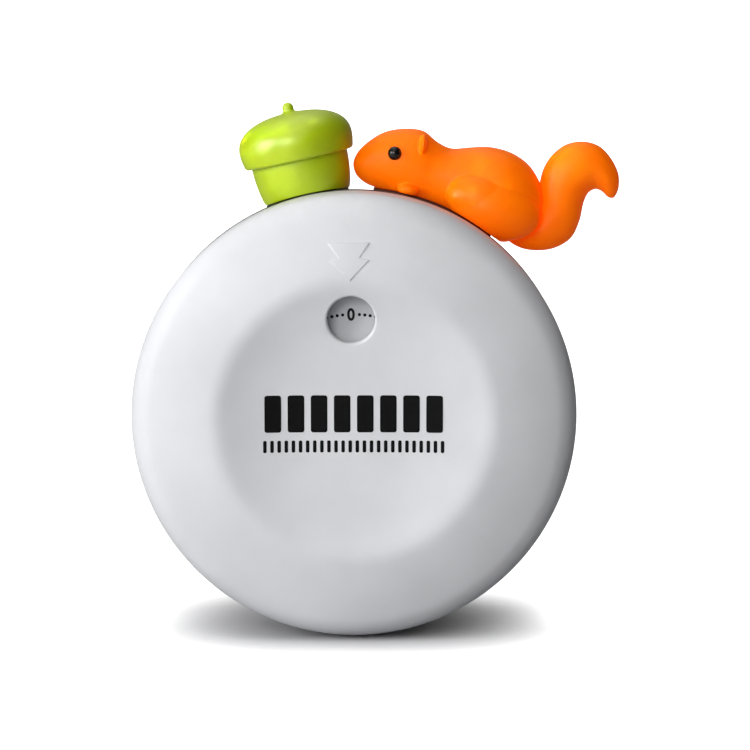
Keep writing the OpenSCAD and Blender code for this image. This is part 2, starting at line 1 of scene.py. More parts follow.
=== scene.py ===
import math
import bmesh
import bpy
import numpy as np
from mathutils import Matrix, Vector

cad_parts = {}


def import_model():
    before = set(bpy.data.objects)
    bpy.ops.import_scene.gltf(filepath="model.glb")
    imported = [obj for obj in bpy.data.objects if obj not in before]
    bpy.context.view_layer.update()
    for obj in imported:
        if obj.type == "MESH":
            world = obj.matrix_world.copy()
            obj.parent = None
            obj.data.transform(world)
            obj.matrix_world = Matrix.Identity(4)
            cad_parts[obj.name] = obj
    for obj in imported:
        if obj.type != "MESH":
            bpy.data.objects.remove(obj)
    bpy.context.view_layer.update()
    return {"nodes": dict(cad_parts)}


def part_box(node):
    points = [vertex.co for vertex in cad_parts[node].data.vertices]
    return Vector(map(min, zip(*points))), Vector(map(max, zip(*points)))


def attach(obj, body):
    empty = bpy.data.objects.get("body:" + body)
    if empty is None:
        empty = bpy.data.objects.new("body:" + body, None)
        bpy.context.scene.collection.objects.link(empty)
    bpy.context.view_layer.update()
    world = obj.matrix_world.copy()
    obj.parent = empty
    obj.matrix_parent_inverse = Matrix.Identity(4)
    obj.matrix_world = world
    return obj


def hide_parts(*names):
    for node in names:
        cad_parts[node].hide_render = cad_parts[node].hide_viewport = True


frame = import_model()

# Shapes are worked out in millimetres as (u, v, w): u to the right, v up from the timer's axis
# and w forward, towards whoever reads the dial. world() turns them into the frame's metres.
MM = 0.001
shell_low, shell_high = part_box("front_shell")
rear_low, rear_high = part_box("rear_shell")
collar_low, collar_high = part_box("seam_ring")
dial_low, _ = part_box("dial_disc")

AXIS_H = (shell_low.z + shell_high.z) / 2 / MM
DISC_R = (shell_high.x - shell_low.x) / 2 / MM
SHELL_EDGE = -shell_high.y / MM
FRONT_DEPTH = 22.4
CREST = SHELL_EDGE + FRONT_DEPTH
REAR_R = (rear_high.x - rear_low.x) / 2 / MM
REAR_FACE = -rear_high.y / MM
SEAM = -rear_low.y / MM
COLLAR_R = (collar_high.x - collar_low.x) / 2 / MM
COLLAR_BACK = -collar_high.y / MM
COLLAR_FRONT = -collar_low.y / MM
DIAL_FACE = -dial_low.y / MM

WALL = 2.0
DISH_DEPTH = 3.06
DISH_FLOOR = CREST - DISH_DEPTH
DISH_FLAT_R = 8.0
DISH_EDGE_R = 30.3
WINDOW_V = 22.4
WINDOW_R = 5.3
WINDOW_COLLAR = 1.2
WINDOW_FILLET = 0.6
DIAL_GAP = 0.5
WINDOW_TURN = 1.5
FIGURE_W = 4.6
FIGURE_SEAT = DISC_R + 0.4
ACORN_LEAN = 12.6
ACORN_ANGLE = 90 + ACORN_LEAN

# Tilts of the front surface, in degrees, where one arc of its section passes into the next
DISH_TILT = -15.0
CREST_TILT = 9.0
SHOULDER_TILT = 19.5
DISH_ARC = -80.0
CREST_ARC = 9.7
FRONT_ARC = 70.0


def world(points):
    """Millimetres (u, v, w) to metres: x is u, y is minus w, and z is the axis height plus v."""
    p = np.asarray(points, float)
    return np.stack([p[..., 0], -p[..., 2], AXIS_H + p[..., 1]], -1) * MM


# ---------------------------------------------------------------- surfaces

def grid_faces(rows, cols, wrap_rows):
    """Quads of a grid of points whose columns run round, and whose rows do too if wrap_rows."""
    i, j = np.meshgrid(np.arange(rows if wrap_rows else rows - 1), np.arange(cols), indexing="ij")
    up, on = (i + 1) % rows, (j + 1) % cols
    return np.stack([i * cols + j, up * cols + j, up * cols + on, i * cols + on], -1).reshape(-1, 4)


def ring_solid(grid):
    """A closed ring of the grid: it runs round both ways, as a torus does."""
    rows, cols = grid.shape[:2]
    return outward(grid.reshape(-1, 3), grid_faces(rows, cols, True).tolist())


def tube_solid(grid):
    """A closed tube of the grid: columns run round, and each end is a fan to its own middle point."""
    rows, cols = grid.shape[:2]
    points = np.vstack([grid.reshape(-1, 3), grid[0].mean(0), grid[-1].mean(0)])
    near = np.arange(cols)
    far = (near + 1) % cols
    low = np.stack([near, far, np.full(cols, rows * cols)], 1)
    last = (rows - 1) * cols
    high = np.stack([last + far, last + near, np.full(cols, rows * cols + 1)], 1)
    return outward(points, grid_faces(rows, cols, False).tolist() + low.tolist() + high.tolist())


def outward(points, faces):
    """Turns the faces round if the volume that they close comes out negative."""
    corners = np.array([[f[0], f[k], f[k + 1]] for f in faces for k in range(1, len(f) - 1)])
    a, b, c = (points[corners[:, k]] for k in range(3))
    if np.einsum("ij,ij->i", a, np.cross(b, c)).sum() < 0:
        faces = [f[::-1] for f in faces]
    return points, faces


def joined(*solids):
    """Several solids as the points and faces of one mesh."""
    points, faces, first = [], [], 0
    for p, f in solids:
        points.append(p)
        faces += [[first + k for k in face] for face in f]
        first += len(p)
    return np.vstack(points), faces


def piece(name, solid, body, material, crease=35):
    """Makes a mesh object of a solid given in millimetres, smooth up to the crease angle in degrees."""
    points, faces = solid
    mesh = bpy.data.meshes.new(name)
    mesh.from_pydata(world(points).tolist(), [], faces)
    mesh.polygons.foreach_set("use_smooth", [True] * len(mesh.polygons))
    mesh.set_sharp_from_angle(angle=math.radians(crease))
    mesh.materials.append(material)
    made = bpy.data.objects.new(name, mesh)
    bpy.context.scene.collection.objects.link(made)
    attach(made, body)
    return made


def turned(profile, cols, origin=(0, 0, 0), along=(0, 0, 1), side=(1, 0, 0)):
    """A profile of (radius, height) pairs carried round an axis: origin, plus the height along the
    axis, plus the radius times the cosine along one side and the sine along the other."""
    r, h = np.asarray(profile, float).T[:, :, None]
    turn = np.linspace(0, 2 * math.pi, cols, endpoint=False)
    along, side = np.array(along, float), np.array(side, float)
    other = np.cross(along, side)
    return (np.array(origin, float) + h[..., None] * along
            + (r * np.cos(turn))[..., None] * side + (r * np.sin(turn))[..., None] * other)


def about_axis(points, degrees):
    """Points turned anticlockwise about the timer's axis, as seen from the front."""
    a = math.radians(degrees)
    return points @ np.array([[math.cos(a), math.sin(a), 0], [-math.sin(a), math.cos(a), 0], [0, 0, 1]])


def arc(start, radius, tilt, to_tilt, steps):
    """An arc of a section, after its start: the start plus the radius times the change in the sine
    and the cosine of the surface's tilt."""
    t = np.radians(np.linspace(tilt, to_tilt, steps + 1))
    return start + radius * np.stack([np.sin(t) - np.sin(t[0]), np.cos(t) - np.cos(t[0])], 1)[1:]


def round_corner(centre, radius, from_angle, to_angle, steps):
    """Points on a circle round centre, between two angles in degrees."""
    t = np.radians(np.linspace(from_angle, to_angle, steps + 1))
    return np.array(centre, float) + radius * np.stack([np.cos(t), np.sin(t)], 1)


def front_section(inset):
    """Radius and depth of the front from its middle to its rim, sunk by inset: a flat, the hollow
    arc of the dish, its tight crest, a long shoulder and the round corner."""
    dish, crest, shoulder = (
        math.sin(math.radians(tilt)) for tilt in (DISH_TILT, CREST_TILT, SHOULDER_TILT))
    shoulder_r = (DISH_FLAT_R + DISH_ARC * dish + CREST_ARC * (crest - dish)
                  + FRONT_ARC * (shoulder - crest))
    corner = (DISC_R - shoulder_r) / (1 - shoulder)
    rows = [np.array([[0, DISH_FLOOR - inset], [DISH_FLAT_R, DISH_FLOOR - inset]])]
    for radius, tilt, to_tilt, steps in (
            (DISH_ARC, 0, DISH_TILT, 24), (CREST_ARC, DISH_TILT, CREST_TILT, 14),
            (FRONT_ARC, CREST_TILT, SHOULDER_TILT, 12), (corner, SHOULDER_TILT, 90, 22)):
        rows.append(arc(rows[-1][-1], radius - inset, tilt, to_tilt, steps))
    return np.vstack(rows)


def nested_circles(from_r, inset, steps, cols):
    """Circles that grow from the window to the dish's edge while their middle slides to the axis.
    The depth of a point is the section's, at the point's own distance from the axis."""
    section = front_section(inset)
    share = np.linspace(0, 1, steps)[:, None]
    turn = np.linspace(0, 2 * math.pi, cols, endpoint=False)
    radius = from_r + (DISH_EDGE_R - from_r) * share
    u = radius * np.cos(turn)
    v = WINDOW_V * (1 - share) + radius * np.sin(turn)
    return np.stack([u, v, np.interp(np.hypot(u, v), section[:, 0], section[:, 1])], -1)


def window_rings(radii, depths, base, cols):
    """Circles round the window's middle; each depth is measured from base, a ring of depths."""
    turn = np.linspace(0, 2 * math.pi, cols, endpoint=False)
    r = np.asarray(radii, float)[:, None]
    return np.stack([r * np.cos(turn), WINDOW_V + r * np.sin(turn),
                     np.asarray(depths, float)[:, None] + base * np.ones((len(radii), cols))], -1)


def rim_rings(section, cols):
    """The part of a section clear outside the dish's edge, carried round the axis."""
    clear = 0.2
    return turned(section[section[:, 0] > DISH_EDGE_R + clear], cols)


def front_shell_solid(cols=256):
    """One closed skin: up the window's wall, over its rounded lip, across the dish in nested circles,
    over the crest to the rim, and back along the inside to the window's collar."""
    collar_r = WINDOW_R + WINDOW_COLLAR
    collar_flare = 0.4
    outer = nested_circles(WINDOW_R + WINDOW_FILLET, 0, 30, cols)
    inner = nested_circles(collar_r + collar_flare, WALL, 16, cols)
    lip_base = outer[0, :, 2]
    quarter = np.radians(np.linspace(0, 90, 8))[:-1]
    lip = window_rings(WINDOW_R + WINDOW_FILLET * (1 - np.cos(quarter)),
                       WINDOW_FILLET * (np.sin(quarter) - 1), lip_base, cols)
    collar_back = DIAL_FACE + DIAL_GAP
    wall_rows = window_rings([WINDOW_R], [collar_back], 0, cols)
    collar_rows = window_rings([collar_r] * 2, [-collar_flare, 0], inner[0, :, 2], cols)
    collar_rows[1, :, 2] = collar_back
    edge = 0.35
    rim = np.vstack([
        round_corner([DISC_R - edge, SHELL_EDGE + edge], edge, 0, -90, 5),
        round_corner([DISC_R - WALL + edge, SHELL_EDGE + edge], edge, -90, -180, 5)])
    inside = rim_rings(front_section(WALL), cols)[::-1]
    skin = np.vstack([wall_rows, lip, outer, rim_rings(front_section(0), cols), turned(rim, cols),
                      inside, inner[::-1], collar_rows])
    return ring_solid(about_axis(skin, WINDOW_TURN))


def smooth_interp(knots, values, at):
    """A cubic through values at their knots, whose slope at each is that of its two neighbours."""
    slope = np.gradient(values, knots, axis=0)
    k = np.clip(np.searchsorted(knots, at, side="right") - 1, 0, len(knots) - 2)
    span = (knots[k + 1] - knots[k])
    t = ((at - knots[k]) / span)[:, None]
    span = span[:, None]
    return ((1 + 2 * t) * (1 - t) ** 2 * values[k] + t * (1 - t) ** 2 * span * slope[k]
            + t ** 2 * (3 - 2 * t) * values[k + 1] + t ** 2 * (t - 1) * span * slope[k + 1])


def ribbed_solid(ribs, rows, cols, middle_w):
    """A body on ribs, each a top point, a bottom point and a half width: the ribs are joined by
    cubics that also pass smoothly round both tips, and each section is an ellipse on its rib."""
    ribs = np.array(ribs, float)
    mirrored = ribs[:, [2, 3, 0, 1, 4]] * [1, 1, 1, 1, -1]
    middle = (ribs[:, :2] + ribs[:, 2:4]) / 2
    half = np.linalg.norm(ribs[:, :2] - ribs[:, 2:4], axis=1) / 2
    step = np.sqrt(np.hypot(np.linalg.norm(np.diff(middle, axis=0), axis=1), np.diff(half)))
    knots = np.concatenate([[-step[0], 0], np.cumsum(step), [step.sum() + step[-1]]])
    values = np.vstack([mirrored[1], ribs, mirrored[-2]])
    short_of_tip = 0.04
    at = np.linspace(short_of_tip * step[0], step.sum() - short_of_tip * step[-1], rows)
    rib = smooth_interp(knots, values, at)
    turn = np.linspace(0, 2 * math.pi, cols, endpoint=False)
    mid, up = (rib[:, :2] + rib[:, 2:4]) / 2, (rib[:, :2] - rib[:, 2:4]) / 2
    uv = mid[:, None] + up[:, None] * np.cos(turn)[None, :, None]
    w = middle_w + rib[:, 4:5] * np.sin(turn)
    return tube_solid(np.concatenate([uv, w[..., None]], -1))


def egg(centre, radii, lean, rows, cols):
    """An ellipsoid with its own three radii, leaning in the plane of the disc, in degrees."""
    pole = 3
    t = np.radians(np.linspace(pole, 180 - pole, rows))[:, None]
    turn = np.linspace(0, 2 * math.pi, cols, endpoint=False)
    a = radii[0] * np.sin(t) * np.cos(turn)
    b = radii[1] * np.sin(t) * np.sin(turn)
    c = radii[2] * np.cos(t) * np.ones_like(turn)
    lean = math.radians(lean)
    return tube_solid(np.array(centre, float) + np.stack(
        [a * math.cos(lean) - b * math.sin(lean), a * math.sin(lean) + b * math.cos(lean), c], -1))


def seated(solid):
    """Lifts whatever lies inside the squirrel's seat out to it, straight away from the axis."""
    points, faces = solid
    r = np.hypot(points[:, 0], points[:, 1])
    grow = np.maximum(r, FIGURE_SEAT) / r
    return points * np.stack([grow, grow, np.ones_like(grow)], 1), faces


# ---------------------------------------------------------------- materials

def linear(colour):
    """Screen values of red, green and blue, from 0 to 255, as linear light with full cover."""
    c = np.array(colour) / 255
    return (*np.where(c < 0.04045, c / 12.92, ((c + 0.055) / 1.055) ** 2.4), 1.0)


def finish(name, colour, roughness, grain=0.25, relief=0.00001, **sockets):
    """A finish with its own nodes: broad colour drift, patchy gloss and a fine grain in relief.
    grain is the size of the grain in millimetres, and relief its height in metres."""
    made = bpy.data.materials.new(name)
    made.use_nodes = True
    nodes, links = made.node_tree.nodes, made.node_tree.links
    shader = nodes["Principled BSDF"]
    place = nodes.new("ShaderNodeTexCoord")

    def noise(size_mm, detail, rough):
        found = nodes.new("ShaderNodeTexNoise")
        found.inputs["Scale"].default_value = 1 / (size_mm * MM)
        found.inputs["Detail"].default_value = detail
        found.inputs["Roughness"].default_value = rough
        links.new(place.outputs["Object"], found.inputs["Vector"])
        return found.outputs["Fac"]

    def spread(value, low, high):
        found = nodes.new("ShaderNodeMapRange")
        found.inputs["From Min"].default_value = 0.3
        found.inputs["From Max"].default_value = 0.7
        found.inputs["To Min"].default_value = low
        found.inputs["To Max"].default_value = high
        links.new(value, found.inputs["Value"])
        return found.outputs["Result"]

    drift_mm, patch_mm, darker = 18, 4, 0.965
    tint = nodes.new("ShaderNodeMix")
    tint.data_type = "RGBA"
    tint.inputs["A"].default_value = linear(colour)
    tint.inputs["B"].default_value = linear([darker * c for c in colour])
    links.new(spread(noise(drift_mm, 3, 0.5), 0, 1), tint.inputs["Factor"])
    links.new(tint.outputs["Result"], shader.inputs["Base Color"])
    gloss = spread(noise(patch_mm, 5, 0.6), roughness * 0.9, roughness * 1.12)
    links.new(gloss, shader.inputs["Roughness"])
    bump = nodes.new("ShaderNodeBump")
    bump.inputs["Distance"].default_value = relief
    bump.inputs["Strength"].default_value = 0.6
    links.new(noise(grain, 3, 0.6), bump.inputs["Height"])
    links.new(bump.outputs["Normal"], shader.inputs["Normal"])
    for socket, value in sockets.items():
        shader.inputs[socket.replace("_", " ")].default_value = value
    return made


white_plastic = finish(
    "white_plastic", (232, 233, 236), 0.42, 0.35, 0.000008, Specular_IOR_Level=0.3)
black_plastic = finish("black_plastic", (24, 24, 26), 0.45, 0.3)
foot_rubber = finish("foot_rubber", (38, 38, 40), 0.8, 0.6, 0.00004)
# The dial is white; its colour is greyed as painted shade, standing in for the shade inside the deep
# window.
dial_white = finish("dial_white", (200, 201, 204), 0.6, 0.2, 0.000004)
print_black = finish(
    "print_black", (7, 7, 8), 0.6, 0.2, 0.000004, Specular_IOR_Level=0.15)
green_plastic = finish(
    "green_plastic", (190, 216, 6), 0.38, 0.3, 0.000008, Specular_IOR_Level=0.8,
    Subsurface_Weight=0.25, Subsurface_Radius=(1.0, 0.9, 0.2), Subsurface_Scale=0.0015)
# The orange's red emission is a painted glow: the plastic glows of itself, which keeps its shaded sides
# bright red.
orange_plastic = finish(
    "orange_plastic", (255, 130, 0), 0.38, 0.3, 0.000008,
    Emission_Color=(1.0, 0.08, 0.0, 1.0), Emission_Strength=0.36, Specular_IOR_Level=0.15,
    Subsurface_Weight=0.35, Subsurface_Radius=(1.0, 0.35, 0.08), Subsurface_Scale=0.002)
black_bead = finish("black_bead", (6, 6, 9), 0.22, 0.4, 0.000001)
steel = finish("steel", (178, 180, 184), 0.3, 0.15, 0.000004, Metallic=1.0)
brass = finish("brass", (212, 178, 98), 0.32, 0.15, 0.000004, Metallic=1.0)
spring_steel = finish("spring_steel", (96, 106, 130), 0.28, 0.15, 0.000003, Metallic=1.0)
bell_steel = finish("bell_steel", (192, 192, 190), 0.22, 0.2, 0.000003, Metallic=1.0)

# CAD nodes that keep their own shape, by finish
CARRIED_OVER = {
    steel: ["dial_pillars", "dial_screws", "acorn_screw", "squirrel_screws", "plate_pillars",
            "pillar_nuts", "movement_screws", "main_arbor", "mainspring_post", "stop_arm", "stop_pin",
            "ratchet_wheel", "click", "click_rivet", "second_pinion", "third_pinion", "escape_pinion",
            "verge", "hammer_arm", "hammer_stud", "bell_post", "bell_nut", "click_spring",
            "hammer_spring"],
    brass: ["movement_front_plate", "movement_back_plate", "trip_cam", "great_wheel", "second_wheel",
            "third_wheel", "escape_wheel", "balance_weight", "hammer_head"],
    spring_steel: ["mainspring"],
    bell_steel: ["bell"],
    dial_white: ["dial_disc"],
    foot_rubber: ["foot_pad"],
}
for material, names in CARRIED_OVER.items():
    for name in names:
        for holder in frame["nodes"][name].material_slots:
            holder.material = material


# ---------------------------------------------------------------- case

front = piece(
    "front_shell_skin", front_shell_solid(), "front_knob", white_plastic, 50)
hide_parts("front_shell")

HUB_R = 5.0
HUB_BORE = 2.02
HUB_BACK = 14.0
HUB_FRONT = DISH_FLOOR - WALL / 2
HUB_EDGE = 0.3
piece("front_hub", ring_solid(turned(
    [[HUB_BORE, HUB_BACK], [HUB_R - HUB_EDGE, HUB_BACK], [HUB_R, HUB_BACK + HUB_EDGE],
     [HUB_R, HUB_FRONT], [HUB_BORE, HUB_FRONT]], 72)), "front_knob", white_plastic)

# Arrow: its size, the shares of it where the head ends and where the tail's neck is, how far it
# stands proud, the slope it lies on and its tip above the window
ARROW_W, ARROW_H = 9.3, 8.5
ARROW_HEAD_H = 0.55
ARROW_NECK_W, ARROW_NECK_H = 0.265, 0.61
ARROW_PROUD = 0.43
ARROW_LEAN = 10.7
ARROW_TIP = 8.65
ARROW_ROUNDING = 0.42
ARROW_SUNK = 0.9


def arrow_solid():
    """Two stacked triangles pointing at the window. The outline is drawn in by a quarter circle as
    it rises, and the flat top is one face."""
    right = [[0, 0], [ARROW_W / 2, ARROW_HEAD_H * ARROW_H],
             [ARROW_NECK_W * ARROW_W, ARROW_NECK_H * ARROW_H], [ARROW_W / 2, ARROW_H]]
    outline = np.array(right + [[-x, y] for x, y in right[:0:-1]], float)
    before, after = np.roll(outline, 1, 0), np.roll(outline, -1, 0)
    to, on = outline - before, after - outline
    to /= np.linalg.norm(to, axis=1)[:, None]
    on /= np.linalg.norm(on, axis=1)[:, None]
    mitre = np.stack([-(to + on)[:, 1], (to + on)[:, 0]], 1) / (1 + (to * on).sum(1))[:, None]
    quarter = np.radians(np.linspace(0, 90, 6))
    draw = np.concatenate([[0], ARROW_ROUNDING * (1 - np.cos(quarter))])
    rise = np.concatenate([
        [-ARROW_SUNK], ARROW_PROUD - ARROW_ROUNDING + ARROW_ROUNDING * np.sin(quarter)])
    flat = outline + mitre * draw[:, None, None]
    lean = math.radians(ARROW_LEAN)
    v = flat[..., 1] * math.cos(lean) + rise[:, None] * math.sin(lean)
    up = rise[:, None] * math.cos(lean) - flat[..., 1] * math.sin(lean)
    tip = np.array([0, WINDOW_V + ARROW_TIP, CREST])
    grid = about_axis(tip + np.stack([flat[..., 0], v, up], -1), WINDOW_TURN)
    rows, cols = grid.shape[:2]
    last = (rows - 1) * cols
    faces = grid_faces(rows, cols, False).tolist()
    faces += [list(range(cols)), list(range(last, last + cols))[::-1]]
    return outward(grid.reshape(-1, 3), faces)


piece("arrow_relief", arrow_solid(), "front_knob", white_plastic, 50)


def rounded_loop(half_u, half_v, corner, steps):
    """The outline of a rectangle with round corners about its middle, anticlockwise."""
    middles = [(half_u - corner, half_v - corner), (corner - half_u, half_v - corner),
               (corner - half_u, corner - half_v), (half_u - corner, corner - half_v)]
    return np.vstack([
        round_corner(m, corner, 90 * k, 90 * k + 90, steps) for k, m in enumerate(middles)])


def printed_bar(u, v, half_u, half_v, corner):
    """A bar of ink on the dish: its rounded outline shrinks to its middle in rings, above and
    below the surface, so that the ink lies on the curve of the dish."""
    loop = rounded_loop(half_u, half_v, corner, 4)
    section = front_section(0)
    flat = np.array([u, v]) + loop * np.array([0.02, 0.5, 1, 1, 0.5, 0.02])[:, None, None]
    depth = np.interp(np.hypot(flat[..., 0], flat[..., 1]), section[:, 0], section[:, 1])
    lift = INK * np.array([-1, -1, -1, 1, 1, 1])[:, None]
    return tube_solid(np.concatenate([flat, (depth + lift)[..., None]], -1))


def printed_row(count, v, share, half_v, corner):
    """A row of equal bars over the print's width, each taking its share of its own place."""
    half = PRINT_HALF / count
    return [printed_bar(half * (2 * k + 1 - count), v, share * half, half_v, corner)
            for k in range(count)]


# Half the width of the print, the bars in its two rows, and half the thickness of the ink. A row is
# told its height above the axis, the share of its place that a bar fills, half a bar's height and
# its corner.
PRINT_HALF = 20.5
BARS, TICKS = 8, 26
INK = 0.03
marks = printed_row(BARS, 1.35, 0.72, 4.15, 0.55) + printed_row(TICKS, -5.95, 0.5, 1.35, 0.3)
piece("printed_scale", joined(*marks), "front_knob", print_black)

# Bearing collar: a band over the seam, whose inner part reaches forward inside the front shell
BAND_EDGE = 0.3
BAND_FRONT = SEAM + 0.8
BAND_FIT = REAR_R + 0.05
BEARING_R = DISC_R - WALL - 0.8
BEARING_BORE = DISC_R - WALL - 2.6
collar_profile = np.vstack([
    [[BAND_FIT, COLLAR_BACK]],
    round_corner([COLLAR_R - BAND_EDGE, COLLAR_BACK + BAND_EDGE], BAND_EDGE, -90, 0, 4),
    round_corner([COLLAR_R - BAND_EDGE, BAND_FRONT - BAND_EDGE], BAND_EDGE, 0, 90, 4),
    [[BEARING_R, BAND_FRONT], [BEARING_R, COLLAR_FRONT], [BEARING_BORE, COLLAR_FRONT],
     [BEARING_BORE, SEAM], [BAND_FIT, SEAM]]])
# The collar is black plastic, so the narrow gap under the figures reads as a dark line: partly this
# dark band, partly painted shade.
collar = piece("bearing_collar", ring_solid(turned(collar_profile, 256)), "rear_case",
               black_plastic)
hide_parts("seam_ring")

# Rear shell: slots for the bell's sound, in sectors of the back, inside a turned wall. The counts
# are the steps along a sector's outer arc, its straight sides and its inner arc.
SLOTS = 18
SLOT_IN, SLOT_OUT, SLOT_HALF = 11.0, 22.0, 0.9
BACK_IN, BACK_OUT = 4.0, 29.0
BACK_CORNER = 8.0
SOFT_EDGE = 0.3
OUTER_STEPS, SIDE_STEPS, INNER_STEPS = 10, 14, 4


def slot_loop(half):
    """The slot's outline in one sector: round ends of the given half width, and straight sides."""
    return np.vstack([
        round_corner([SLOT_OUT, 0], half, -90, 90, OUTER_STEPS)[:-1],
        np.linspace([SLOT_OUT, half], [SLOT_IN, half], SIDE_STEPS + 1)[:-1],
        round_corner([SLOT_IN, 0], half, 90, 270, INNER_STEPS)[:-1],
        np.linspace([SLOT_IN, -half], [SLOT_OUT, -half], SIDE_STEPS + 1)[:-1]])


def sector_loop():
    """The sector's own outline, with as many points on each of its four sides as the slot has."""
    half = 180 / SLOTS
    left = np.array([math.cos(math.radians(half)), math.sin(math.radians(half))])
    right = left * [1, -1]
    return np.vstack([
        round_corner([0, 0], BACK_OUT, -half, half, OUTER_STEPS)[:-1],
        np.linspace(left * BACK_OUT, left * BACK_IN, SIDE_STEPS + 1)[:-1],
        round_corner([0, 0], BACK_IN, half, -half, INNER_STEPS)[:-1],
        np.linspace(right * BACK_IN, right * BACK_OUT, SIDE_STEPS + 1)[:-1]])


def round_the_back(sector, faces):
    """A sector's points and faces, repeated round the axis."""
    return [(about_axis(sector, 360 * k / SLOTS).reshape(-1, 3), faces) for k in range(SLOTS)]


def rear_shell_solid():
    """In each sector, rings from the sector's outline in to the slot, over its rounded edge, through
    the wall and out again on the inside; then the turned outside, seam and inside join the sectors,
    and a fan closes the middle of each face."""
    inner_face = REAR_FACE + WALL
    rings = 5
    share = np.linspace(1, 0, rings)[:, None, None]
    outside = share * sector_loop() + (1 - share) * slot_loop(SLOT_HALF + SOFT_EDGE)
    inside = share[::-1] * sector_loop() + (1 - share[::-1]) * slot_loop(SLOT_HALF)
    quarter = np.radians([30, 60, 90])
    rounded = np.array([slot_loop(SLOT_HALF + SOFT_EDGE * (1 - math.sin(q))) for q in quarter])
    flat = np.vstack([outside, rounded, inside])
    depth = np.concatenate([np.full(rings, REAR_FACE), REAR_FACE + SOFT_EDGE * (1 - np.cos(quarter)),
                            np.full(rings, inner_face)])
    sector = np.concatenate([flat, np.broadcast_to(depth[:, None, None], (*flat.shape[:2], 1))], -1)
    solids = round_the_back(sector, grid_faces(*sector.shape[:2], False).tolist())
    cols = SLOTS * OUTER_STEPS
    start = -math.pi / SLOTS
    corner_middle = [REAR_R - BACK_CORNER, REAR_FACE + BACK_CORNER]
    wall = np.vstack([
        [[BACK_OUT, REAR_FACE]],
        round_corner(corner_middle, BACK_CORNER, -90, 0, 20),
        round_corner([REAR_R - SOFT_EDGE, SEAM - SOFT_EDGE], SOFT_EDGE, 0, 90, 4),
        [[REAR_R - WALL, SEAM]],
        round_corner(corner_middle, BACK_CORNER - WALL, 0, -90, 14),
        [[BACK_OUT, inner_face]]])
    turned_wall = turned(wall, cols, side=(math.cos(start), math.sin(start), 0))
    solids.append((turned_wall.reshape(-1, 3), grid_faces(len(wall), cols, False).tolist()))
    first = OUTER_STEPS + SIDE_STEPS
    inner_arc = sector_loop()[first:first + INNER_STEPS + 1]
    middle = np.vstack([np.pad(inner_arc, ((0, 0), (0, 1))), [0, 0, 0]])
    hub = len(inner_arc)
    for depth, flip in ((REAR_FACE, 1), (inner_face, -1)):
        fan = [[hub, i, i + 1][::flip] for i in range(INNER_STEPS)]
        solids += round_the_back(middle + [0, 0, depth], fan)
    return joined(*solids)


def rounded_block(low, high, corner, edge):
    """A block with round upright corners and a rounded lower edge, as rings of its outline."""
    low, high = np.array(low, float), np.array(high, float)
    middle, half = (low + high) / 2, (high - low) / 2
    quarter = np.radians(np.linspace(0, 90, 5))
    draw = np.concatenate([edge * (1 - np.sin(quarter)), [0]])
    rise = np.concatenate([low[1] + edge * (1 - np.cos(quarter)), [high[1]]])
    rings = []
    for d, v in zip(draw, rise):
        loop = middle[[0, 2]] + rounded_loop(half[0] - d, half[2] - d, corner - d, 6)
        rings.append(np.stack([loop[:, 0], np.full(len(loop), v), loop[:, 1]], 1))
    return tube_solid(np.array(rings))


def rim_frame(angle):
    """The way out to the rim at an angle, and the way along the rim there."""
    a = math.radians(angle)
    return np.array([math.cos(a), math.sin(a), 0]), np.array([-math.sin(a), math.cos(a), 0])


# Foot: half its width and depth, and its underside and top from the timer's axis
FOOT_HALF_U = 16.0
FOOT_HALF_W = COLLAR_BACK - 0.2
FOOT_LOW = 1 - AXIS_H
FOOT_HIGH = FOOT_LOW + 6
FOOT_CORNER = 1.5
foot = rounded_block([-FOOT_HALF_U, FOOT_LOW, -FOOT_HALF_W],
                     [FOOT_HALF_U, FOOT_HIGH, FOOT_HALF_W], FOOT_CORNER, 0.5)
rear = piece("rear_shell_skin", joined(rear_shell_solid(), foot), "rear_case", white_plastic,
             40)
# The sectors' edges meet point for point, so merging them closes the shell
MEETING = 0.002 * MM
weld = bmesh.new()
weld.from_mesh(rear.data)
bmesh.ops.remove_doubles(weld, verts=weld.verts, dist=MEETING)
bmesh.ops.recalc_face_normals(weld, faces=weld.faces)
weld.to_mesh(rear.data)
weld.free()
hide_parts("rear_shell")


def saddle_solid(from_angle, to_angle, back):
    """A curved spacer on the rim: a block of rounded section carried along an arc of the rim, drawn
    in a little at both ends."""
    low, high, front = REAR_R + 0.02, FIGURE_SEAT - 0.05, COLLAR_BACK - 0.1
    loop = rounded_loop((high - low) / 2, (front - back) / 2, 0.25, 3)
    end, drawn_in = 0.2, 0.85
    angles = np.concatenate([
        [from_angle], np.linspace(from_angle + end, to_angle - end, 40), [to_angle]])
    draw = np.ones((len(angles), 1))
    draw[[0, -1]] = drawn_in
    a = np.radians(angles)[:, None]
    r = (low + high) / 2 + loop[:, 0] * draw
    w = (front + back) / 2 + loop[:, 1] * draw
    return tube_solid(np.stack([r * np.cos(a), r * np.sin(a), w], -1))


# Where each saddle begins and ends round the rim, in degrees, and where its back is
ACORN_SADDLE = (ACORN_ANGLE - 11, ACORN_ANGLE + 11, -1)
SQUIRREL_SADDLE = (51.5, 85, 1)
# The saddles are black like the collar. This darkens the gap under the figures, partly as a dark part
# and partly as painted shade.
acorn_saddle = piece("acorn_saddle_skin", saddle_solid(*ACORN_SADDLE), "rear_case",
                     black_plastic)
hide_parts("acorn_saddle")
squirrel_saddle = piece("squirrel_saddle_skin", saddle_solid(*SQUIRREL_SADDLE), "rear_case",
                        black_plastic)
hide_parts("squirrel_saddle")


# ---------------------------------------------------------------- dial print

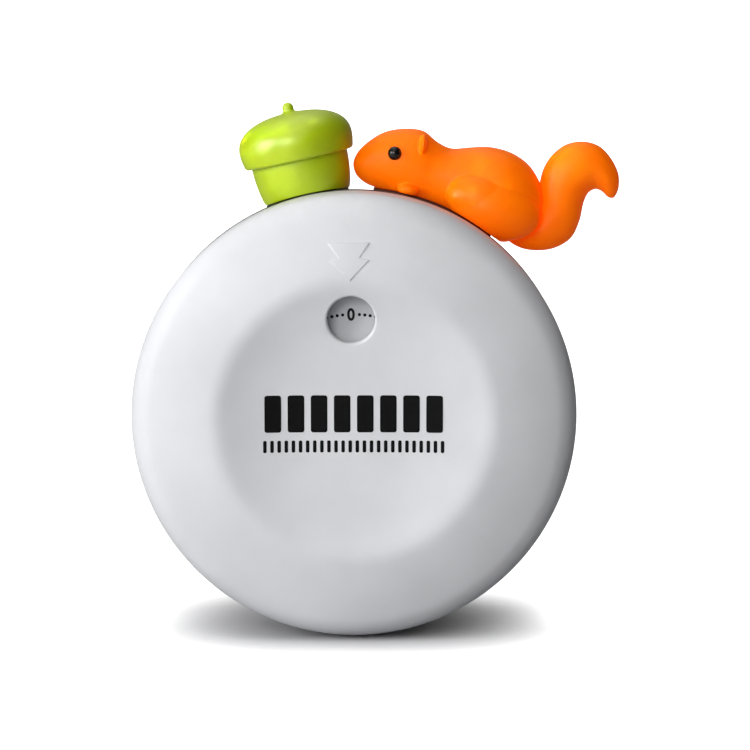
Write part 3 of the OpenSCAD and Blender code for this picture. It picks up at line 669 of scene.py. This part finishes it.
# Numerals and dots: the ring they stand on, a numeral's height and how narrow it is drawn, and the
# angles from a numeral to its first dot and from dot to dot
NUMERAL_R = 23.25
NUMERAL_H = 2.85
NUMERAL_NARROW = 0.9
NUMERALS = 12
MINUTE_STEP = 5
NUMERAL_STEP = 360 / NUMERALS
DOT_R = 0.36
DOT_FIRST = 4.6
DOTS = 8
DOT_PITCH = (NUMERAL_STEP - 2 * DOT_FIRST) / (DOTS - 1)
INK_LIFT = 0.02


def numeral(text, angle):
    """A number as a thin solid on the dial, its foot towards the axis and its middle on the ring."""
    letters = bpy.data.curves.new("numeral", "FONT")
    letters.body = text
    letters.size = 1
    letters.align_x = "CENTER"
    letters.extrude = 0.01
    letters.offset = 0.035
    maker = bpy.data.objects.new("numeral", letters)
    bpy.context.scene.collection.objects.link(maker)
    bpy.context.view_layer.update()
    shape = maker.to_mesh()
    points = np.empty(len(shape.vertices) * 3)
    shape.vertices.foreach_get("co", points)
    faces = [list(p.vertices) for p in shape.polygons]
    maker.to_mesh_clear()
    bpy.data.objects.remove(maker)
    bpy.data.curves.remove(letters)
    points = points.reshape(-1, 3)
    low, high = points.min(0), points.max(0)
    size = NUMERAL_H / (high[1] - low[1])
    u = (points[:, 0] - (low[0] + high[0]) / 2) * size * NUMERAL_NARROW
    v = (points[:, 1] - (low[1] + high[1]) / 2) * size + NUMERAL_R
    w = DIAL_FACE + INK_LIFT * (points[:, 2] > 0)
    return about_axis(np.stack([u, v, w], 1), angle - 90), faces


def dot(angle):
    """A round dot of ink on the numeral ring: a turned edge, closed by a fan below and above."""
    inner = 0.05
    profile = [[inner, 0], [DOT_R, 0], [DOT_R, INK_LIFT], [inner, INK_LIFT]]
    out, _ = rim_frame(angle)
    return tube_solid(turned(profile, 16, origin=NUMERAL_R * out + [0, 0, DIAL_FACE]))


# A number of two digits takes the place of the dot on each side of it
numerals, dots = [], []
for k in range(NUMERALS):
    at = 90 + WINDOW_TURN - NUMERAL_STEP * k
    text, following = (str(MINUTE_STEP * (n % NUMERALS)) for n in (k, k + 1))
    numerals.append(numeral(text, at))
    places = range(len(text) - 1, DOTS + 1 - len(following))
    dots += [dot(at - DOT_FIRST - DOT_PITCH * n) for n in places]
piece("dial_numbers", joined(*numerals), "rear_case", print_black)
piece("dial_dots", joined(*dots), "rear_case", print_black)


# ---------------------------------------------------------------- acorn

# Heights above the seat and radii of the cap and the nut, the peg that joins them and its screw hole
LIP = 7.7
WIDEST = 11.4
DOME = 7.2
CAP_R = 13.2
LIP_ROUNDING = 0.9
DOME_POWER = 0.87
NUT_BASE_R = 9.9
NUT_TOP_R = 11.2
PEG_R, PEG_TOP = 4.0, 3.6
HOLE_R = 1.3
ACORN_OUT, ACORN_ACROSS = rim_frame(ACORN_ANGLE)
ACORN_FOOT = np.array([0, 0, FIGURE_W]) + FIGURE_SEAT * ACORN_OUT
FORWARD = np.array([0, 0, 1])
ACORN_COLS = 128


def power(base, exponent):
    """A cosine or sine raised to a power, for a superellipse."""
    return np.clip(base, 0, 1) ** exponent


def cap_solid():
    """Turned cap: a hollow under the lip, the lip's rounding, a straight flank, a superellipse for
    the dome, and a short stalk that flares at its foot and ends in a ball."""
    t = np.radians(np.linspace(0, 86, 30))
    dome = np.stack([CAP_R * power(np.cos(t), DOME_POWER),
                     WIDEST + DOME * power(np.sin(t), DOME_POWER)], 1)
    top = WIDEST + DOME
    peg_hole = PEG_R + 0.05
    stalk_foot = 2.2
    profile = np.vstack([
        [[peg_hole, LIP + 3.5], [peg_hole, LIP]],
        round_corner([CAP_R - 1.3, LIP + LIP_ROUNDING], LIP_ROUNDING, -90, 0, 6),
        [[CAP_R - 0.1, WIDEST - 1.4]],
        dome[dome[:, 0] > stalk_foot],
        [[1.75, top + 0.06], [1.4, top + 0.25], [1.25, top + 0.6]],
        round_corner([0, top + 1.05], 1.28, -10, 86, 9)])
    return tube_solid(turned(profile, ACORN_COLS, ACORN_FOOT, ACORN_OUT, ACORN_ACROSS))


def seat_ring(radius):
    """A ring round the acorn's own axis that lies on the seat: at each point its height is the sag
    of the seat's circle below its top."""
    turn = np.linspace(0, 2 * math.pi, ACORN_COLS, endpoint=False)
    sideways, forwards = radius * np.cos(turn)[:, None], radius * np.sin(turn)[:, None]
    sag = np.sqrt(FIGURE_SEAT ** 2 - sideways ** 2) - FIGURE_SEAT
    return ACORN_FOOT + sag * ACORN_OUT + sideways * ACORN_ACROSS + forwards * FORWARD


def nut_solid():
    """Turned nut that widens upwards as a power of a sine. Its lowest ring lies on the seat, and
    the height of the rings above is a blend of that ring's with the lip's."""
    share = np.linspace(0, 1, 14)[:, None]
    bulge = NUT_BASE_R + (NUT_TOP_R - NUT_BASE_R) * np.sin(share * math.pi / 2) ** 0.75
    foot_ring = seat_ring(NUT_BASE_R) - ACORN_FOOT
    sag = foot_ring @ ACORN_OUT
    spokes = (foot_ring - sag[:, None] * ACORN_OUT) / NUT_BASE_R
    height = sag * (1 - share) + LIP * share
    flank = ACORN_FOOT + height[..., None] * ACORN_OUT + bulge[..., None] * spokes
    peg = turned([[PEG_R, LIP], [PEG_R, LIP + PEG_TOP]],
                 ACORN_COLS, ACORN_FOOT, ACORN_OUT, ACORN_ACROSS)
    return tube_solid(np.vstack([seat_ring(HOLE_R)[None], flank, peg]))


acorn_nut = piece("acorn_nut_skin", nut_solid(), "rear_case", green_plastic, 40)
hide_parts("acorn_nut")
acorn_cap = piece("acorn_cap_skin", cap_solid(), "rear_case", green_plastic, 40)
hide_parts("acorn_cap")


# ---------------------------------------------------------------- squirrel

# Ribs as top u and v, bottom u and v, and half width, from one tip to the other
BODY_RIBS = [
    [-0.3, 55.7, -0.3, 55.7, 0],
    [0.6, 58.1, 0.3, 53.3, 2.7],
    [2.8, 60.4, 2.2, 51.4, 4.2],
    [6.9, 62.9, 5.4, 50, 5.6],
    [12.1, 63.7, 9.6, 48.7, 6.3],
    [16, 63.1, 13, 47.8, 6.2],
    [19, 60.7, 16.4, 46.6, 5.8],
    [22.2, 59.2, 20, 45.2, 6.1],
    [26.6, 59.4, 24, 43.3, 6.9],
    [31, 59.5, 28, 41, 8.6],
    [36, 58.2, 31.4, 38.7, 9.4],
    [40, 55.5, 34.4, 37.6, 8.6],
    [42.6, 51.5, 38.2, 38.8, 6.4],
    [43.6, 48, 41.6, 41.6, 3.6],
    [43.6, 44.8, 43.6, 44.8, 0],
]
TAIL_RIBS = [
    [34.2, 39.4, 34.2, 39.4, 0],
    [36.2, 41.2, 36.6, 37.1, 2],
    [39, 42.8, 40.2, 35.8, 3.3],
    [41.4, 44.8, 45.4, 36, 4.2],
    [42.4, 48, 49.8, 38.4, 4.7],
    [42.7, 51.6, 51.9, 42.6, 5],
    [43.8, 55.2, 52.7, 46.4, 5.1],
    [45.8, 58, 53.6, 48.6, 5.1],
    [49, 60.2, 54.6, 49.5, 5],
    [52.9, 60.7, 55.6, 49.8, 4.8],
    [56.4, 59.6, 56.6, 49.5, 4.5],
    [59.2, 56.6, 57.4, 48.9, 3.9],
    [60.8, 53, 58.1, 48.2, 2.9],
    [60.7, 49.6, 58.9, 47.8, 1.5],
    [59.8, 47.9, 59.8, 47.9, 0],
]
# Eggs on each flank: the haunch, the thigh in front of it, the ear and the forepaw. Each has its
# centre, as u, v and the distance from the middle plane, its radii, its lean and its rows and columns
FLANK_EGGS = [
    [(32.1, 45.5, 5.0), (10.6, 6.9, 6.6), -16, 30, 40],
    [(29.5, 47.5, 5.2), (8.7, 5.8, 5.9), -16, 30, 40],
    [(15.7, 60.3, 4.8), (0.85, 2.3, 2.7), -5, 20, 28],
    [(12.2, 49.8, 4.8), (2.4, 1.4, 2.2), -8, 20, 28],
]
EYE = [(9.2, 58.2, 5.75), (1.6, 1.6, 1.6), 0, 32, 48]


def on_flank(side, centre, *shape):
    """An egg on one flank of the squirrel: side is 1 for the front one and -1 for the back one."""
    return egg((centre[0], centre[1], FIGURE_W + side * centre[2]), *shape)


parts = [ribbed_solid(BODY_RIBS, 110, 64, FIGURE_W)]
parts += [on_flank(side, *place) for side in (-1, 1) for place in FLANK_EGGS]
body = piece("squirrel_body_skin", joined(*[seated(p) for p in parts]), "rear_case", orange_plastic,
             180)
tail = piece("squirrel_tail_skin", seated(ribbed_solid(TAIL_RIBS, 90, 48, FIGURE_W)), "rear_case",
             orange_plastic, 180)


def blended(made, voxel, rounds):
    """Runs the overlapping solids of a piece together into one skin and softens its creases."""
    skin = made.modifiers.new("one skin", "REMESH")
    skin.mode = "VOXEL"
    skin.voxel_size = voxel * MM
    skin.use_smooth_shade = True
    soft = made.modifiers.new("soft creases", "SMOOTH")
    soft.factor = 0.5
    soft.iterations = rounds


blended(body, voxel=0.25, rounds=3)
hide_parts("squirrel_body")
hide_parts("squirrel_tail")
eyes = piece("squirrel_eye_beads", joined(*[on_flank(side, *EYE) for side in (-1, 1)]),
             "rear_case", black_bead)
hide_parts("squirrel_eyes")


# ---------------------------------------------------------------- floor, light and camera

def sweep():
    """A pale floor that curves up into a wall far behind: a line, a quarter circle and a line."""
    near, far, high, bend, half = -3.0, 1.6, 2.4, 0.9, 3.0
    t = np.radians(np.linspace(-90, 0, 24))
    curve = np.stack([far + bend * np.cos(t), bend + bend * np.sin(t)], 1)
    profile = np.vstack([[[near, 0]], curve, [[far + bend, high]]])
    points = np.array([[x, y, z] for y, z in profile for x in (-half, half)])
    faces = [[2 * k, 2 * k + 1, 2 * k + 3, 2 * k + 2] for k in range(len(profile) - 1)]
    mesh = bpy.data.meshes.new("floor_sweep")
    mesh.from_pydata(points.tolist(), [], faces)
    mesh.polygons.foreach_set("use_smooth", [True] * len(faces))
    made = bpy.data.objects.new("floor_sweep", mesh)
    bpy.context.scene.collection.objects.link(made)
    return made


def seen_white(tree, shade, seen, unseen, contact=0):
    """Gives a glow one strength where the viewer sees it and another where it lights the timer.
    It fades out where the timer is nearer than the contact distance, in metres, which paints a shadow
    on the floor round the timer's foot."""
    path = tree.nodes.new("ShaderNodeLightPath")
    choose = tree.nodes.new("ShaderNodeMapRange")
    choose.inputs["To Min"].default_value = unseen
    choose.inputs["To Max"].default_value = seen
    tree.links.new(path.outputs["Is Camera Ray"], choose.inputs["Value"])
    if not contact:
        tree.links.new(choose.outputs["Result"], shade)
        return
    # Painted shadow: near the timer the glow dims with the occlusion, darkening the floor round its
    # foot.
    painted_shadow_occlusion = tree.nodes.new("ShaderNodeAmbientOcclusion")
    painted_shadow_occlusion.inputs["Distance"].default_value = contact
    falloff = tree.nodes.new("ShaderNodeMath")
    falloff.operation = "POWER"
    falloff.inputs[1].default_value = 2.0
    tree.links.new(painted_shadow_occlusion.outputs["AO"], falloff.inputs[0])
    both = tree.nodes.new("ShaderNodeMath")
    both.operation = "MULTIPLY"
    tree.links.new(falloff.outputs["Value"], both.inputs[0])
    tree.links.new(choose.outputs["Result"], both.inputs[1])
    tree.links.new(both.outputs["Value"], shade)


# The floor's glow where it is seen, and how near the timer it fades to paint a shadow, in metres
FLOOR_GLOW = 1.4
PAINTED_SHADOW_REACH = 0.022
floor_white = finish("floor_white", (170, 170, 172), 0.7, 1.5, 0.00001)
floor_shader = floor_white.node_tree.nodes["Principled BSDF"]
floor_shader.inputs["Emission Color"].default_value = (1, 1, 1, 1)
seen_white(floor_white.node_tree, floor_shader.inputs["Emission Strength"], FLOOR_GLOW, 0, PAINTED_SHADOW_REACH)
sweep().data.materials.append(floor_white)


def softbox(name, place, aim, size, power, spread=180):
    """A rectangular light at a place, facing its aim, all in metres; spread is its beam in degrees."""
    data = bpy.data.lights.new(name, "AREA")
    data.shape = "RECTANGLE"
    data.size, data.size_y = size
    data.energy = power
    data.spread = math.radians(spread)
    made = bpy.data.objects.new(name, data)
    made.location = place
    way = Vector(aim) - Vector(place)
    made.rotation_euler = way.to_track_quat("-Z", "Y").to_euler()
    bpy.context.scene.collection.objects.link(made)
    return made


centre = (0, 0, AXIS_H * MM)
softbox("key", (-0.9, -0.45, 0.35), centre, (0.5, 0.5), 6.5)
softbox("top", (-0.2, 0.3, 1.2), centre, (1.2, 1.2), 4.2)
softbox("overhead", (-0.15, -0.6, 1.0), centre, (0.8, 0.8), 2.1)
softbox("front", (-0.2, -0.55, 0.25), centre, (0.25, 0.25), 1.3)
softbox("figures", (-0.6, -0.25, 0.19), (-0.03, -0.005, 0.124), (0.1, 0.03), 0.008, 4)
softbox("wall_wash", (0, 1.1, 1.7), (0, 2.5, 0.7), (1.6, 0.6), 24)

sky = bpy.data.worlds.new("studio")
sky.use_nodes = True
sky.node_tree.nodes["Background"].inputs["Color"].default_value = (1, 1, 1, 1)
seen_white(sky.node_tree, sky.node_tree.nodes["Background"].inputs["Strength"], 1.0, 0.03)
bpy.context.scene.world = sky
bpy.context.scene.view_settings.view_transform = "Standard"

# The camera stands in front, a little above the timer, and looks slightly down; its field of view
# is twice the angle given
HALF_FIELD = 8
CAMERA_AT = Vector((0.00472, -0.62, 0.13))
CAMERA_AIM = Vector((0.00472, -0.02, 0.059))
camera = bpy.data.cameras.new("camera")
camera.sensor_width = 36
camera.lens = camera.sensor_width / 2 / math.tan(math.radians(HALF_FIELD))
camera.clip_start = 0.01
seen_from = bpy.data.objects.new("camera", camera)
seen_from.location = CAMERA_AT
seen_from.rotation_euler = (CAMERA_AIM - CAMERA_AT).to_track_quat("-Z", "Y").to_euler()
bpy.context.scene.collection.objects.link(seen_from)
bpy.context.scene.camera = seen_from
